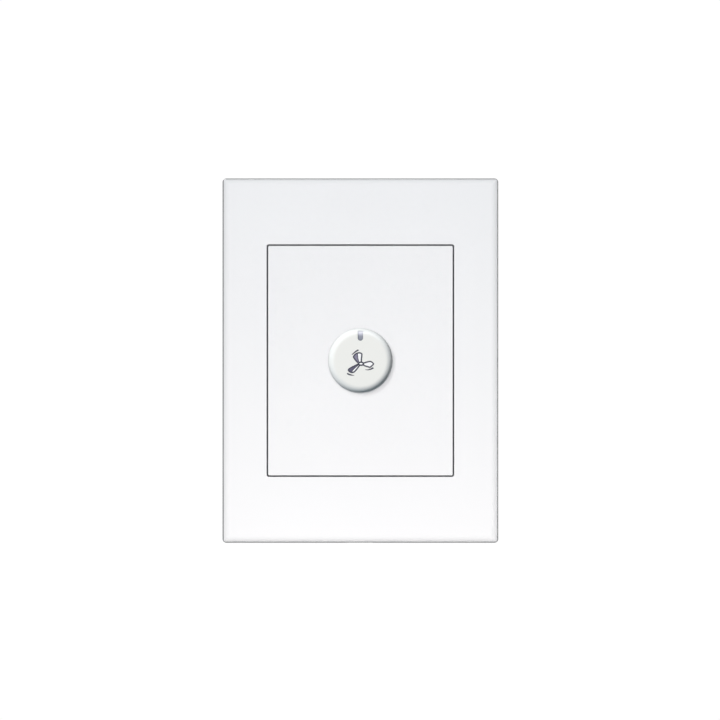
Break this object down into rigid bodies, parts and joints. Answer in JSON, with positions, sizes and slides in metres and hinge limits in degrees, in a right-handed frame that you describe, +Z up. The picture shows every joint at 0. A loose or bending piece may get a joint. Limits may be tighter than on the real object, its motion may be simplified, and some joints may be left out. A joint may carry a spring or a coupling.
{
  "type": "fan speed control switch",
  "caption": "Flush wall-mounted rotary fan speed control: white cover plate with a flush centre panel and a round pointer knob, over an electronic control in a vented housing.",
  "frame": {"origin": "centre of the wall-box screw pattern, on the wall surface", "axes": "+X to the right seen from the front, +Y into the wall, +Z up"},
  "size_m": [0.09, 0.0497, 0.119],
  "materials": {
    "white_plastic": "smooth satin-gloss white moulding",
    "knob_plastic": "satin slightly warm white moulding",
    "spring_steel": "hardened strip",
    "zinc_steel": "zinc plated",
    "screw_steel": "zinc plated",
    "housing_plastic": "fine spark texture",
    "black_plastic": "moulded",
    "yellow_plastic": "moulded box",
    "red_plastic": "moulded box",
    "phenolic": "laminate",
    "board": "laminate",
    "grey_pad": "silicone pad",
    "ferrite": "pressed powder",
    "copper": "enamelled wire",
    "brass": "machined",
    "tinned_brass": "tin plated",
    "shaft_alloy": "turned",
    "sink_aluminium": "mill",
    "blue_lacquer": "lacquered",
    "tan_lacquer": "lacquered",
    "fuse_tube": "clear tube with metal caps"
  },
  "bodies": {
    "base": {"cover_plate": "white_plastic", "centre_panel": "white_plastic", "mounting_frame": "zinc_steel", "housing_base": "housing_plastic", "housing_lid": "housing_plastic", "housing_screws": "screw_steel", "pot_bushing": "zinc_steel", "pot_lock_washer": "spring_steel", "pot_nut": "zinc_steel", "pot_track_wafer": "phenolic", "pot_terminals": "tinned_brass", "pot_can": "zinc_steel", "pot_switch": "black_plastic", "terminal_line": "brass", "terminal_fan": "brass", "terminal_screws": "screw_steel", "suppression_capacitor": "yellow_plastic", "choke_core": "ferrite", "choke_winding": "copper", "triac": "black_plastic", "insulating_pad": "grey_pad", "heat_sink": "sink_aluminium", "triac_screw": "screw_steel", "triac_nut": "screw_steel", "timing_capacitor": "red_plastic", "snubber_capacitor": "red_plastic", "diac": "blue_lacquer", "resistors": "tan_lacquer", "fuse": "fuse_tube", "fuse_clips": "tinned_brass", "circuit_board": "board"},
    "knob": {"control_knob": "knob_plastic", "knob_spring_clip": "spring_steel", "pot_shaft": "shaft_alloy", "pot_rotor": "black_plastic", "pot_wiper": "brass"}
  },
  "joints": [
    {"name": "knob_turn", "type": "hinge", "parent": "base", "child": "knob", "pos_m": [0, 0, 0], "axis": [0, 1, 0], "range_deg": [-140, 140]}
  ]
}
